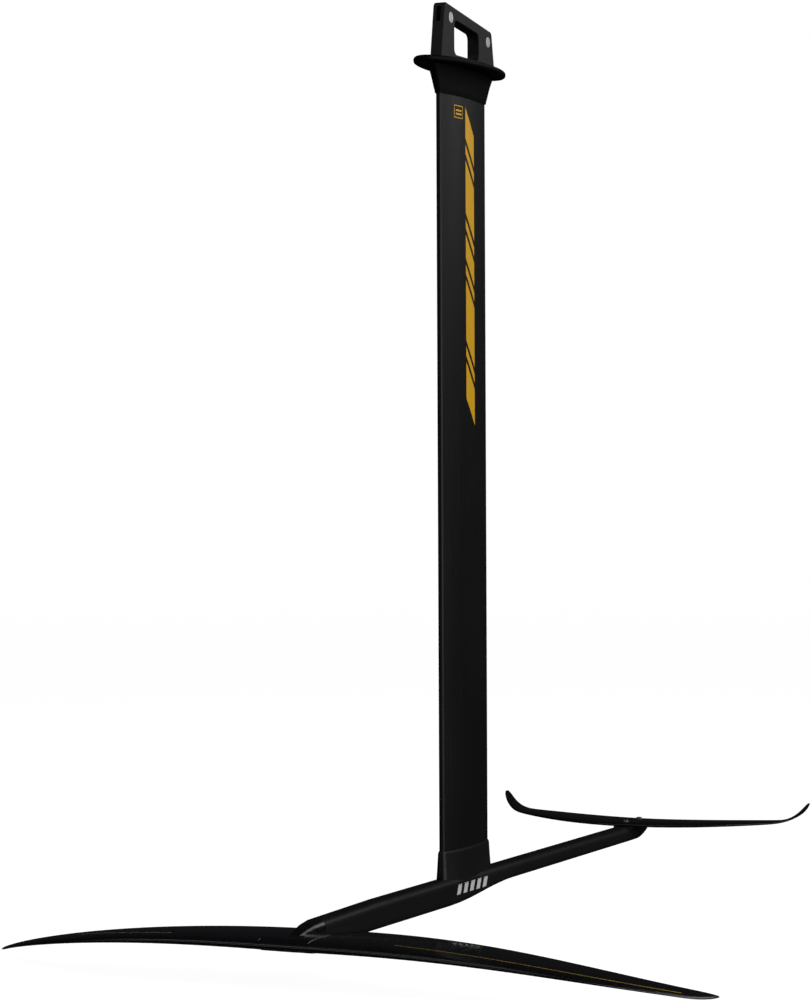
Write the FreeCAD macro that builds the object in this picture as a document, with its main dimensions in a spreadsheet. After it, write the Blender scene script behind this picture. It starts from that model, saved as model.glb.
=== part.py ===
"""Hydrofoil with a fin-box head, a section mast, a fuselage and two wings. Millimetres.

+X points forward, +Y to port and +Z up. The origin is on the mast's axis, in the plane of the
flange's top face, which lies against the board's bottom.
"""
import FreeCAD, Part
import math
import os

import Sketcher

SIZES = {
    # head block, above the flange
    "head_thickness": 14.4,
    "head_front_foot": 68.4,
    "head_rear_foot": 78.0,
    "head_front_top": 58.5,
    "head_rear_top": 69.5,
    "head_front_height": 63.2,
    "head_rear_height": 44.7,
    "head_corner_radius": 5.0,
    "head_edge_radius": 0.8,
    "head_outline_radius": 2.0,
    "head_recess": 2.0,
    "head_recess_play": 0.05,
    "window_front": 33.6,
    "window_rear": 33.0,
    "window_floor": 7.9,
    "window_front_height": 46.3,
    "window_rear_height": 37.8,
    "window_radius": 7.0,
    # barrel nuts and the board bolts' slots
    "nut_front_place": 42.0,
    "nut_front_height": 47.5,
    "nut_rear_place": 59.5,
    "nut_rear_height": 32.6,
    "nut_radius": 6.15,
    "nut_play": 0.05,
    "nut_span": 13.6,
    "nut_thread_radius": 3.4,
    "driver_slot_width": 1.6,
    "driver_slot_depth": 1.5,
    "bolt_hole_radius": 4.5,
    "bolt_slot_width": 5.2,
    "bolt_slot_bridge": 5.0,
    "bolt_tip_depth": 10.0,
    # flange and cone of the collar
    "flange_long_radius": 101.5,
    "flange_short_radius": 33.0,
    "flange_centre": 2.3,
    "flange_thickness": 6.5,
    "flange_rim_radius": 2.8,
    "collar_height": 36.9,
    "collar_band_height": 4.5,
    "collar_web": 4.0,
    # mast section
    "mast_chord": 125.8,
    "mast_thickness": 16.2,
    "mast_tail_edge": 1.4,
    "mast_nose_radius": 3.3,
    "mast_widest": 20.0,
    "mast_wall": 2.2,
    "mast_web": 2.0,
    "web_front": 12.0,
    "web_rear": 18.0,
    "hollow_tail": 38.0,
    "mast_foot_depth": 883.9,
    "slip_gap": 0.15,
    "spigot_gap": 0.25,
    "spigot_depth": 70.0,
    "spigot_rear": 16.0,
    "spigot_front": 54.0,
    # foot of the mast, inside the socket
    "plug_base": 6.5,
    "plug_tongue": 48.0,
    "gasket_thickness": 1.0,
    "socket_rim_depth": 866.4,
    "socket_rim_grow": 1.5,
    "socket_base_grow": 3.9,
    # fuselage
    "fuselage_top_depth": 896.9,
    "bar_slope_start": 230.0,
    "bar_end_depth": 899.4,
    "fuselage_front_depth": 926.3,
    "fuselage_rear_depth": 915.8,
    "fuselage_width": 25.0,
    "fuselage_front_end": 371.0,
    "fuselage_tail_end": 566.0,
    "sweep_start": 60.0,
    "sweep_end": 120.0,
    "tail_bend": 520.0,
    "tail_corner": 530.0,
    "tail_corner_depth": 915.4,
    "tail_end_depth": 905.0,
    "tail_half_width": 5.0,
    "tail_narrowing": 482.0,
    "fuselage_top_radius": 8.0,
    "fuselage_bottom_radius": 6.0,
    # bolts and screws
    "bolt_radius": 3.0,
    "bolt_head_radius": 5.0,
    "bolt_head_height": 5.0,
    "bolt_key_width": 5.0,
    "screw_radius": 2.5,
    "screw_head_radius": 4.7,
    "screw_head_height": 2.2,
    "screw_key_width": 3.0,
    "hole_play": 0.25,
    "mast_bolt_first": 44.0,
    "mast_bolt_pitch": 24.0,
    "mast_bolt_seat_depth": 914.0,
    "mast_bolt_length": 47.0,
    "pin_screw_length": 6.0,
    "side_screw_front": 34.0,
    "side_screw_rear": 3.0,
    "side_screw_upper": 14.0,
    "side_screw_lower": 28.0,
    "foot_screw_front": 32.0,
    "foot_screw_rear": 11.5,
    "foot_screw_depth": 875.4,
    # front wing
    "front_half_span": 402.3,
    "front_root_chord": 158.0,
    "front_tip_chord": 32.0,
    "front_leading_edge": 448.0,
    "front_sweep": 123.0,
    "front_depth": 916.2,
    "front_droop": 45.0,
    "front_thickness_ratio": 0.098,
    "front_incidence": 2.1,
    "front_washout": 2.9,
    "front_skin": 1.4,
    "front_core_span": 350.6,
    "pad_half_width": 27.0,
    "pad_rise": 0.6,
    "nose_tip": 430.0,
    "nose_tip_depth": 911.5,
    "front_bolt_first": 357.0,
    "front_bolt_pitch": 24.0,
    "front_bolt_seat_depth": 919.6,
    "front_bolt_length": 16.0,
    "insert_radius": 4.0,
    "insert_length": 8.0,
    "insert_top_depth": 904.0,
    "cup_radius": 6.8,
    "cup_thickness": 1.2,
    # rear wing
    "rear_half_span": 206.8,
    "rear_root_chord": 90.0,
    "rear_tip_chord": 21.0,
    "rear_leading_edge": -484.7,
    "rear_sweep": 108.7,
    "rear_depth": 894.8,
    "rear_bow": 1.9,
    "rear_tip_rise": 21.7,
    "rear_tip_bend": 154.5,
    "rear_thickness_ratio": 0.082,
    "rear_incidence": 0.84,
    "rear_skin": 1.0,
    "rear_core_span": 148.9,
    "rear_seat_start": 483.5,
    "rear_seat_depth": 899.7,
    "rear_screw_first": 498.5,
    "rear_screw_pitch": 49.5,
    "tail_insert_radius": 3.5,
    "tail_insert_length": 5.8,
    "washer_radius": 5.6,
    "washer_thickness": 0.8,
    "button_height": 2.2,
    "bearing_half_width": 18.0,
}


class Size:
    """A number of the sheet, or arithmetic on such numbers, with the expression that gives it."""

    def __init__(self, value, text):
        self.value = float(value)
        self.text = text

    def __add__(self, other):
        other = as_size(other)
        return Size(self.value + other.value, f"({self.text} + {other.text})")

    def __sub__(self, other):
        other = as_size(other)
        return Size(self.value - other.value, f"({self.text} - {other.text})")

    def __mul__(self, other):
        other = as_size(other)
        return Size(self.value * other.value, f"({self.text} * {other.text})")

    def __truediv__(self, other):
        other = as_size(other)
        return Size(self.value / other.value, f"({self.text} / {other.text})")

    def __neg__(self):
        return Size(-self.value, f"(-{self.text})")


def as_size(number):
    if isinstance(number, Size):
        return number
    return Size(number, f"({float(number)!r})")


doc = FreeCAD.newDocument("Hydrofoil")
sheet = doc.addObject("Spreadsheet::Sheet", "Sizes")
for row, (word, number) in enumerate(SIZES.items(), start=1):
    sheet.set(f"A{row}", word)
    sheet.set(f"B{row}", str(number))
    sheet.setAlias(f"B{row}", word)
doc.recompute()


def size(word):
    """The sheet's cell of that name."""
    return Size(sheet.get(word), f"Sizes.{word}")


def val(word):
    return size(word).value


def bind(thing, **properties):
    for name, number in properties.items():
        thing.setExpression(name.replace("__", "."), as_size(number).text)


def place(thing, x=0.0, y=0.0, z=0.0, turn=None):
    """Puts an object at a point by expressions, turned by a rotation first."""
    if turn is not None:
        thing.Placement = FreeCAD.Placement(FreeCAD.Vector(), turn)
    bind(thing, Placement__Base__x=x, Placement__Base__y=y, Placement__Base__z=z)
    return thing


TOWARDS_PORT = FreeCAD.Rotation(FreeCAD.Vector(1, 0, 0), -90)
TOWARDS_STARBOARD = FreeCAD.Rotation(FreeCAD.Vector(1, 0, 0), 90)
UPWARDS = FreeCAD.Rotation()


# ---- plain solids and booleans ------------------------------------------------------------

def box(name, low, high):
    """A box between two corners, each three sizes."""
    thing = doc.addObject("Part::Box", name)
    low = [as_size(v) for v in low]
    high = [as_size(v) for v in high]
    bind(thing, Length=high[0] - low[0], Width=high[1] - low[1], Height=high[2] - low[2])
    return place(thing, *low)


def cylinder(name, radius, length, x, y, z, turn=UPWARDS):
    thing = doc.addObject("Part::Cylinder", name)
    bind(thing, Radius=radius, Height=length)
    return place(thing, x, y, z, turn)


def cone(name, low_radius, high_radius, length, x, y, z, turn=UPWARDS):
    thing = doc.addObject("Part::Cone", name)
    bind(thing, Radius1=low_radius, Radius2=high_radius, Height=length)
    return place(thing, x, y, z, turn)


def key_socket(name, across_flats, depth, x, y, z, turn=UPWARDS):
    """The hexagonal hole for a key."""
    thing = doc.addObject("Part::Prism", name)
    thing.Polygon = 6
    bind(thing, Circumradius=as_size(across_flats) / math.sqrt(3), Height=depth)
    return place(thing, x, y, z, turn)


def cut(name, base, tool):
    thing = doc.addObject("Part::Cut", name)
    thing.Base = base
    thing.Tool = tool
    return thing


def fuse(name, things):
    thing = doc.addObject("Part::MultiFuse", name)
    thing.Shapes = things
    return thing


def common(name, things):
    thing = doc.addObject("Part::MultiCommon", name)
    thing.Shapes = things
    return thing


def group(name, things):
    thing = doc.addObject("Part::Compound", name)
    thing.Links = things
    return thing


def feature(name, shape):
    thing = doc.addObject("Part::Feature", name)
    thing.Shape = shape
    return thing


def extrude(name, profile, direction, length, reverse=0.0):
    thing = doc.addObject("Part::Extrusion", name)
    thing.Base = profile
    thing.DirMode = "Custom"
    thing.Dir = FreeCAD.Vector(*direction)
    thing.Solid = True
    bind(thing, LengthFwd=length, LengthRev=reverse)
    return thing


def fillet(name, base, edges):
    """Rounds the base's edges; edges pairs each edge number with a radius."""
    thing = doc.addObject("Part::Fillet", name)
    thing.Base = base
    thing.Edges = [(number, radius, radius) for number, radius in edges]
    return thing


# ---- PartDesign helpers -------------------------------------------------------------------

def body(name):
    return doc.addObject("PartDesign::Body", name)


def sketch(owner, name, plane):
    """A sketch on one of the body's origin planes."""
    drawing = owner.newObject("Sketcher::SketchObject", name)
    roles = {part.Role: part for part in owner.Origin.OriginFeatures}
    drawing.AttachmentSupport = [(roles[plane], "")]
    drawing.MapMode = "FlatFace"
    return drawing


def pin_point(drawing, edge, end, across, up):
    """Fixes a sketch point at two sizes from the origin."""
    across, up = as_size(across), as_size(up)
    for kind, distance, axis in (("DistanceX", across, -2), ("DistanceY", up, -1)):
        if distance.value == 0:
            drawing.addConstraint(Sketcher.Constraint("PointOnObject", edge, end, axis))
            continue
        number = drawing.addConstraint(
            Sketcher.Constraint(kind, -1, 1, edge, end, distance.value))
        drawing.setExpression(f"Constraints[{number}]", distance.text)


def draw_polygon(drawing, corners):
    """A closed polygon whose corners are pairs of sizes."""
    points = [FreeCAD.Vector(as_size(a).value, as_size(b).value, 0) for a, b in corners]
    edges = []
    for first, second in zip(points, points[1:] + points[:1]):
        edges.append(drawing.addGeometry(Part.LineSegment(first, second), False))
    for edge, following in zip(edges, edges[1:] + edges[:1]):
        drawing.addConstraint(Sketcher.Constraint("Coincident", edge, 2, following, 1))
    for edge, (across, up) in zip(edges, corners):
        pin_point(drawing, edge, 1, across, up)


def draw_circle(drawing, across, up, radius):
    across, up, radius = as_size(across), as_size(up), as_size(radius)
    centre = FreeCAD.Vector(across.value, up.value, 0)
    ring = drawing.addGeometry(Part.Circle(centre, FreeCAD.Vector(0, 0, 1), radius.value), False)
    pin_point(drawing, ring, 3, across, up)
    number = drawing.addConstraint(Sketcher.Constraint("Radius", ring, radius.value))
    drawing.setExpression(f"Constraints[{number}]", radius.text)


def pad(owner, name, drawing, length):
    """A pad to both sides of its sketch."""
    thing = owner.newObject("PartDesign::Pad", name)
    thing.Profile = drawing
    thing.Midplane = True
    bind(thing, Length=length)
    drawing.Visibility = False
    doc.recompute()
    return thing


def pocket(owner, name, drawing, length=None, reversed_side=False):
    """A pocket right through, or of a length to one side; it must remove material."""
    before = owner.Shape.Volume
    thing = owner.newObject("PartDesign::Pocket", name)
    thing.Profile = drawing
    if length is None:
        thing.Type = "ThroughAll"
        thing.Midplane = True
    else:
        thing.Reversed = reversed_side
        bind(thing, Length=length)
    doc.recompute()
    if owner.Shape.Volume > before - 1e-3:
        raise RuntimeError(f"{name} cuts nothing")
    return thing


def round_edges(owner, name, base, wanted, radius):
    """Rounds the edges of a body's last feature that the test picks."""
    thing = owner.newObject("PartDesign::Fillet", name)
    numbers = [n for n, edge in enumerate(base.Shape.Edges, start=1) if wanted(edge)]
    thing.Base = (base, [f"Edge{n}" for n in numbers])
    bind(thing, Radius=radius)
    doc.recompute()
    return thing


def runs_along(edge, axis):
    """Whether a straight edge runs along X, Y or Z (0, 1 or 2)."""
    if not isinstance(edge.Curve, (Part.Line, Part.LineSegment)):
        return False
    first, second = edge.Vertexes[0].Point, edge.Vertexes[-1].Point
    return abs((second - first).normalize()[axis]) > 0.999


# ---- foil sections ------------------------------------------------------------------------

def thickness_at(part):
    """Half thickness of a plain foil, for a thickness of 1, at a part of the chord from 0 to 1."""
    root = math.sqrt(part)
    return 5 * (0.2969 * root - 0.1260 * part - 0.3516 * part**2 + 0.2843 * part**3
                - 0.1036 * part**4)


class MastSection:
    """The mast's section as arcs that run into each other, in the XY plane.

    grow moves the line outwards, and stretch and widen lengthen and fatten the section, as the
    collar needs.
    """

    def __init__(self, grow=0.0, stretch=0.0, widen=1.0):
        self.half = val("mast_chord") / 2 + stretch
        self.grow = grow
        self.widest = val("mast_widest")
        edge = val("mast_tail_edge") / 2
        thick = val("mast_thickness") / 2 * widen
        nose = val("mast_nose_radius")
        ahead = self.half - nose - self.widest
        behind = self.half + self.widest
        front = (ahead**2 + thick**2 - nose**2) / (2 * (thick - nose))
        rear = (behind**2 + (thick - edge)**2) / (2 * (thick - edge))
        self.front_radius = front + grow
        self.rear_radius = rear + grow
        self.front_centre = thick - front
        self.rear_centre = thick - rear
        self.nose_turn = math.atan2(-self.front_centre, ahead)
        self.tail_turn = math.atan2(edge - self.rear_centre, -behind)

    def front_point(self, turn):
        """The point of the front flank whose radius stands at a turn from +X."""
        return (self.widest + self.front_radius * math.cos(turn),
                self.front_centre + self.front_radius * math.sin(turn))

    def rear_point(self, turn):
        """The point of the rear flank whose radius stands at a turn from +X."""
        return (self.widest + self.rear_radius * math.cos(turn),
                self.rear_centre + self.rear_radius * math.sin(turn))

    def half_thickness(self, x):
        """Half the thickness at an X behind the nose."""
        ahead = x > self.widest
        radius = self.front_radius if ahead else self.rear_radius
        centre = self.front_centre if ahead else self.rear_centre
        return centre + math.sqrt(radius**2 - (x - self.widest)**2)

    def wire(self, z, back=None):
        """The closed line at a height, with a round tail or a flat one at the X of back."""
        upright = math.pi / 2
        if back is None:
            tail_turn = self.tail_turn
        else:
            tail_turn = upright + math.asin((self.widest - back) / self.rear_radius)
        front = [self.front_point(turn) for turn in
                 (upright, (upright + self.nose_turn) / 2, self.nose_turn)]
        rear = [self.rear_point(turn) for turn in
                (tail_turn, (upright + tail_turn) / 2, upright)]
        last = front[-1]
        tip = (self.half + self.grow, 0)
        tail = rear[0]
        arcs = [rear, front, [last, tip, mirrored(last)]]
        arcs += [[mirrored(spot) for spot in reversed(arc)] for arc in (front, rear)]
        if back is None:
            arcs.append([mirrored(tail), (tail[0] - tail[1], 0), tail])
            edges = []
        else:
            edges = [Part.LineSegment(at(mirrored(tail), z), at(tail, z)).toShape()]
        edges = [Part.Arc(*[at(spot, z) for spot in arc]).toShape() for arc in arcs] + edges
        return Part.Wire(edges)


def mirrored(spot):
    return (spot[0], -spot[1])


def at(spot, z):
    return FreeCAD.Vector(spot[0], spot[1], z)


def mast_half_thickness(x):
    """Half the mast's thickness at an X behind its nose."""
    return MastSection().half_thickness(x)


def mast_wire(z, grow=0.0, stretch=0.0, widen=1.0):
    """The closed line of a mast section at a height."""
    return MastSection(grow, stretch, widen).wire(z)


def hollow_wire(z, inset):
    """The closed line inside the mast's wall, flat at the back."""
    return MastSection(-inset).wire(z, -val("hollow_tail"))


def loft(name, wires):
    """A solid through closed lines, each held as an object of the document."""
    thing = doc.addObject("Part::Loft", name)
    thing.Sections = [feature(f"{name}_line_{n}", wire) for n, wire in enumerate(wires)]
    thing.Solid = True
    thing.Ruled = False
    return thing


def mast_solid(name, low, high, grow=0.0):
    """The mast's section between two depths below the flange."""
    profile = feature(f"{name}_section", mast_wire(-high.value, grow))
    return extrude(name, profile, (0, 0, 1), high - low)


def hollow_solid(name, low, high, inset):
    """What lies inside the mast's wall between two depths."""
    profile = feature(f"{name}_section", hollow_wire(-high.value, inset))
    return extrude(name, profile, (0, 0, 1), high - low)


# ---- fasteners ----------------------------------------------------------------------------

def cap_bolt(name, x, seat_depth, length, head_radius, head_height, key):
    """A socket-head bolt that goes up from its seat, with the key hole below."""
    seat = -seat_depth
    head = cylinder(f"{name}_head", head_radius, head_height, x, 0, seat - head_height)
    shank = cylinder(f"{name}_shank", size("bolt_radius"), length, x, 0, seat)
    whole = fuse(f"{name}_whole", [head, shank])
    hole = key_socket(f"{name}_key", key, head_height * 0.6, x, 0, seat - head_height)
    return cut(name, whole, hole)


def side_screw(name, x, z, side):
    """A countersunk screw through the mast's wall; side is 1 for port and -1 for starboard."""
    face = as_size(mast_half_thickness(x) - 0.3)
    turn = TOWARDS_STARBOARD if side > 0 else TOWARDS_PORT
    y = face * side
    head = cone(f"{name}_head", size("screw_head_radius"), size("screw_radius"),
                size("screw_head_height"), x, y, z, turn)
    length = size("screw_head_height") + size("pin_screw_length") * 0.5
    shank = cylinder(f"{name}_shank", size("screw_radius"), length, x, y, z, turn)
    whole = fuse(f"{name}_whole", [head, shank])
    hole = key_socket(f"{name}_key", size("screw_key_width"), 1.6, x, y, z, turn)
    return cut(name, whole, hole)


def side_screw_hole(name, x, z, side):
    """The countersunk hole for a side screw."""
    play = size("hole_play")
    face = as_size(mast_half_thickness(x) - 0.3)
    turn = TOWARDS_STARBOARD if side > 0 else TOWARDS_PORT
    head = cone(f"{name}_sink", size("screw_head_radius") + play, size("screw_radius") + play,
                size("screw_head_height"), x, face * side, z, turn)
    mouth = cylinder(f"{name}_mouth", size("screw_head_radius") + play, 2, x,
                     (face + 2) * side, z, turn)
    shank = cylinder(f"{name}_hole", size("screw_radius") + play * 0.2,
                     size("pin_screw_length"), x, face * side, z, turn)
    return fuse(name, [head, mouth, shank])


parts = {}

# ---- barrel nuts --------------------------------------------------------------------------

def barrel_nut(name, place_x, height):
    """A cross dowel with its tapped hole upright and a driver slot in each end."""
    nut = body(name)
    ring = sketch(nut, f"{name}_round", "XZ_Plane")
    draw_circle(ring, place_x, height, size("nut_radius"))
    pad(nut, f"{name}_bar", ring, size("nut_span"))
    thread = sketch(nut, f"{name}_thread", "XY_Plane")
    draw_circle(thread, place_x, 0, size("nut_thread_radius"))
    pocket(nut, f"{name}_tapping", thread)
    slots = sketch(nut, f"{name}_slots", "XY_Plane")
    reach = size("nut_span") / 2
    inner = reach - size("driver_slot_depth")
    half = size("driver_slot_width") / 2
    for low, high in ((inner, reach + 1), (-reach - 1, -inner)):
        draw_polygon(slots, [(place_x - half, low), (place_x + half, low),
                             (place_x + half, high), (place_x - half, high)])
    pocket(nut, f"{name}_driver_slots", slots)
    return nut


NUTS = {
    "front": (size("nut_front_place"), size("nut_front_height"), 1),
    "rear": (-size("nut_rear_place"), size("nut_rear_height"), -1),
}
for end, (nut_x, nut_z, _) in NUTS.items():
    parts[f"barrel_nut_{end}"] = barrel_nut(f"barrel_nut_{end}", nut_x, nut_z)

# ---- head ---------------------------------------------------------------------------------

head = body("head_block")
side_view = sketch(head, "head_side_view", "XZ_Plane")
draw_polygon(side_view, [
    (size("head_front_foot"), 0),
    (size("head_front_top"), size("head_front_height")),
    (-size("head_rear_top"), size("head_rear_height")),
    (-size("head_rear_foot"), 0),
])
block = pad(head, "head_pad", side_view, size("head_thickness"))
block = round_edges(head, "head_corners", block,
                    lambda e: runs_along(e, 1) and e.BoundBox.ZMax > 10,
                    size("head_corner_radius"))
window = sketch(head, "head_window_view", "XZ_Plane")
draw_polygon(window, [
    (size("window_front"), size("window_floor")),
    (size("window_front"), size("window_front_height")),
    (-size("window_rear"), size("window_rear_height")),
    (-size("window_rear"), size("window_floor")),
])


def on_head_outline(edge):
    """Whether an edge of the block's side belongs to its outer line, above the foot."""
    bounds = edge.BoundBox
    far = bounds.XLength > 100 or bounds.XMin > 53 or bounds.XMax < -63
    return bounds.YLength < 0.01 and bounds.ZMax > 1 and far


block = round_edges(head, "head_outline", block, on_head_outline, size("head_outline_radius"))
block = pocket(head, "head_window", window)
block = round_edges(head, "head_window_corners", block,
                    lambda e: runs_along(e, 1) and -36 < e.BoundBox.XMin < 35
                    and 1 < e.BoundBox.ZMax < 47.5, size("window_radius"))
bores = sketch(head, "head_bores_view", "XZ_Plane")
for nut_x, nut_z, _ in NUTS.values():
    draw_circle(bores, nut_x, nut_z, size("nut_radius") + size("nut_play"))
block = pocket(head, "head_bores", bores)
block = round_edges(head, "head_edges", block,
                    lambda e: e.BoundBox.YLength < 0.01 and 1 < e.BoundBox.ZMax
                    and -34 < e.BoundBox.XMin and e.BoundBox.XMax < 35
                    and e.BoundBox.XLength < 70,
                    size("head_edge_radius"))


def head_top_height(x):
    """Height of the block's sloping top at an X."""
    front, rear = val("head_front_top"), -val("head_rear_top")
    share = (x - rear) / (front - rear)
    return val("head_rear_height") + share * (val("head_front_height") - val("head_rear_height"))


def bolt_slot(end, nut_x, nut_z, side):
    """The board bolt's way in: a hole from the top and a closed slot in the block's end."""
    half = size("bolt_slot_width") / 2
    floor = nut_z - size("nut_radius")
    far = nut_x + as_size(40 * side)
    end_x = val(f"head_{end}_top") * side
    roof = as_size(head_top_height(end_x)) - size("bolt_slot_bridge")
    low_x, high_x = (nut_x, far) if side > 0 else (far, nut_x)
    run = box(f"{end}_slot_run", (low_x, -half, floor), (high_x, half, roof))
    well = cylinder(f"{end}_slot_well", size("bolt_hole_radius"), 60, nut_x, 0, floor)
    tip = cylinder(f"{end}_slot_tip", size("bolt_hole_radius") - 0.3, size("bolt_tip_depth"),
                   nut_x, 0, floor - size("bolt_tip_depth"))
    return fuse(f"{end}_bolt_slot", [run, well, tip])


slots = fuse("bolt_slots", [bolt_slot(end, *numbers) for end, numbers in NUTS.items()])
head_top = cut("head_top", head, slots)


def tongues(name, low, high, gap, rear, front):
    """What fills the mast's two front hollows between two depths, with a gap all round."""
    inner = hollow_solid(f"{name}_inner", low, high, val("mast_wall") + gap.value)
    middle = size("web_front")
    half = size("mast_web") / 2 + gap
    window_box = box(f"{name}_range", (-rear, -20, -high), (front, 20, -low))
    web = box(f"{name}_web_gap", (middle - half, -20, -high - 1), (middle + half, 20, -low + 1))
    return cut(name, common(f"{name}_whole", [inner, window_box]), web)




def head_foot(name, play):
    """The block's foot, which stands in a shallow recess of the flange, with play all round."""
    half = size("head_thickness") / 2 + play
    return box(name, (-size("head_rear_foot") - play, -half, -size("head_recess")),
               (size("head_front_foot") + play, half, 0.5 if play else 0))


foot = head_foot("head_foot", 0)
spigot = tongues("head_tongues", size("head_recess"), size("spigot_depth"), size("spigot_gap"),
                 size("spigot_rear"), size("spigot_front"))

ahead, behind = val("side_screw_front"), -val("side_screw_rear")
upper, lower = -val("side_screw_upper"), -val("side_screw_lower")
SIDE_SCREWS_HEAD = [(ahead, upper, 1), (behind, lower, 1), (ahead, lower, -1), (behind, upper, -1)]
SIDE_SCREWS_FOOT = [(val("foot_screw_front"), -val("foot_screw_depth"), 1),
                    (-val("foot_screw_rear"), -val("foot_screw_depth"), -1)]
head_holes = fuse("head_screw_holes", [side_screw_hole(f"head_hole_{n}", *numbers)
                                       for n, numbers in enumerate(SIDE_SCREWS_HEAD)])
foot_holes = fuse("foot_screw_holes", [side_screw_hole(f"foot_hole_{n}", *numbers)
                                       for n, numbers in enumerate(SIDE_SCREWS_FOOT)])
parts["head_screws"] = group("head_screws", [side_screw(f"head_screw_{n}", *numbers)
                                             for n, numbers in enumerate(SIDE_SCREWS_HEAD)])
parts["foot_plug_screws"] = group("foot_plug_screws", [
    side_screw(f"foot_screw_{n}", *numbers) for n, numbers in enumerate(SIDE_SCREWS_FOOT)])
parts["mast_head"] = cut("mast_head", fuse("head_whole", [head_top, foot, spigot]), head_holes)

# ---- collar -------------------------------------------------------------------------------

oval = doc.addObject("Part::Ellipse", "flange_oval")
bind(oval, MajorRadius=size("flange_long_radius"), MinorRadius=size("flange_short_radius"))
place(oval, size("flange_centre"), 0, -size("flange_thickness"))
plate = extrude("flange_plate", oval, (0, 0, 1), size("flange_thickness"))
doc.recompute()
rims = [(n, val("flange_rim_radius")) for n, edge in enumerate(plate.Shape.Edges, start=1)
        if edge.BoundBox.ZLength < 0.01]
flange = fillet("flange", plate, rims)

COLLAR_LINES = (
    # part of the cone's height from the flange down, outward growth, stretch, widening
    (0.0, 2.4, 21.0, 1.75),
    (0.3, 2.1, 13.5, 1.42),
    (0.65, 2.0, 6.6, 1.14),
    (1.0, 1.7, 1.6, 1.0),
)
cone_top = val("flange_thickness") / 2
cone_bottom = val("collar_height") - val("collar_band_height")
fairing = loft("collar_cone", [
    mast_wire(-cone_top - share * (cone_bottom - cone_top), grow, stretch, widen)
    for share, grow, stretch, widen in COLLAR_LINES])
band = loft("collar_band", [mast_wire(-cone_bottom, 2.1), mast_wire(-val("collar_height"), 1.3)])
collar_whole = fuse("collar_whole", [flange, fairing, band])
passage = mast_solid("collar_passage", size("collar_web"), size("collar_height") + 1,
                     val("slip_gap"))
head_recess = head_foot("head_recess", size("head_recess_play"))
web_hole = tongues("collar_web_hole", as_size(-1), size("collar_web") + 1, as_size(0.05),
                   size("spigot_rear") + 0.2, size("spigot_front") + 0.2)
parts["base_collar"] = cut("base_collar", collar_whole,
                           fuse("collar_openings", [passage, web_hole, head_recess]))

# ---- mast ---------------------------------------------------------------------------------

mast_top = size("collar_web")
mast_skin = mast_solid("mast_outside", mast_top, size("mast_foot_depth"))
hollow = hollow_solid("mast_hollow", mast_top - 1, size("mast_foot_depth") + 1,
                      val("mast_wall"))
webs = []
for name, x in (("front", size("web_front")), ("rear", -size("web_rear"))):
    half = size("mast_web") / 2
    webs.append(box(f"mast_web_{name}", (x - half, -20, -size("mast_foot_depth") - 2),
                    (x + half, 20, 0)))
chambers = cut("mast_chambers", hollow, fuse("mast_webs", webs))
drilled = cut("mast_drilled", cut("mast_head_drilled", mast_skin, head_holes), foot_holes)
parts["mast_tube"] = cut("mast_tube", drilled, chambers)

# ---- foot plug, gasket and mast bolts -----------------------------------------------------

plug_top = size("mast_foot_depth")
plug_bottom = plug_top + size("plug_base")
gasket_bottom = plug_bottom + size("gasket_thickness")
plug_base = mast_solid("plug_base", plug_top, plug_bottom, 0.0)
plug_tongues = tongues("plug_tongues", plug_top - size("plug_tongue"), plug_top,
                       size("spigot_gap"), size("spigot_rear"), size("spigot_front"))
MAST_BOLTS = [size("mast_bolt_first") - size("mast_bolt_pitch") * n for n in range(3)]
FRONT_BOLTS = [size("front_bolt_first") - size("front_bolt_pitch") * n for n in range(2)]
REAR_SCREWS = [-size("rear_screw_first") - size("rear_screw_pitch") * n for n in range(2)]


def upright_holes(name, places, radius, low, high):
    """Round upright holes at several X, from one depth up to another."""
    return fuse(name, [cylinder(f"{name}_{n}", radius, low - high, x, 0, -low)
                       for n, x in enumerate(places)])


bolt_holes = upright_holes("mast_bolt_holes", MAST_BOLTS, size("bolt_radius") + 0.05,
                           size("mast_bolt_seat_depth") + 1, plug_top - 26)
plug_whole = fuse("plug_whole", [plug_base, plug_tongues])
parts["foot_plug"] = cut("foot_plug", plug_whole, fuse("plug_holes", [bolt_holes, foot_holes]))
gasket = mast_solid("gasket_sheet", plug_bottom, gasket_bottom, -0.2)
parts["socket_gasket"] = cut("socket_gasket", gasket, bolt_holes)
parts["mast_bolts"] = group("mast_bolts", [
    cap_bolt(f"mast_bolt_{n}", x, size("mast_bolt_seat_depth"), size("mast_bolt_length"),
             size("bolt_head_radius"), size("bolt_head_height"), size("bolt_key_width"))
    for n, x in enumerate(MAST_BOLTS)])

# ---- wings --------------------------------------------------------------------------------

WING_POINTS = 18
TAIL_EDGE = 0.5


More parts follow.
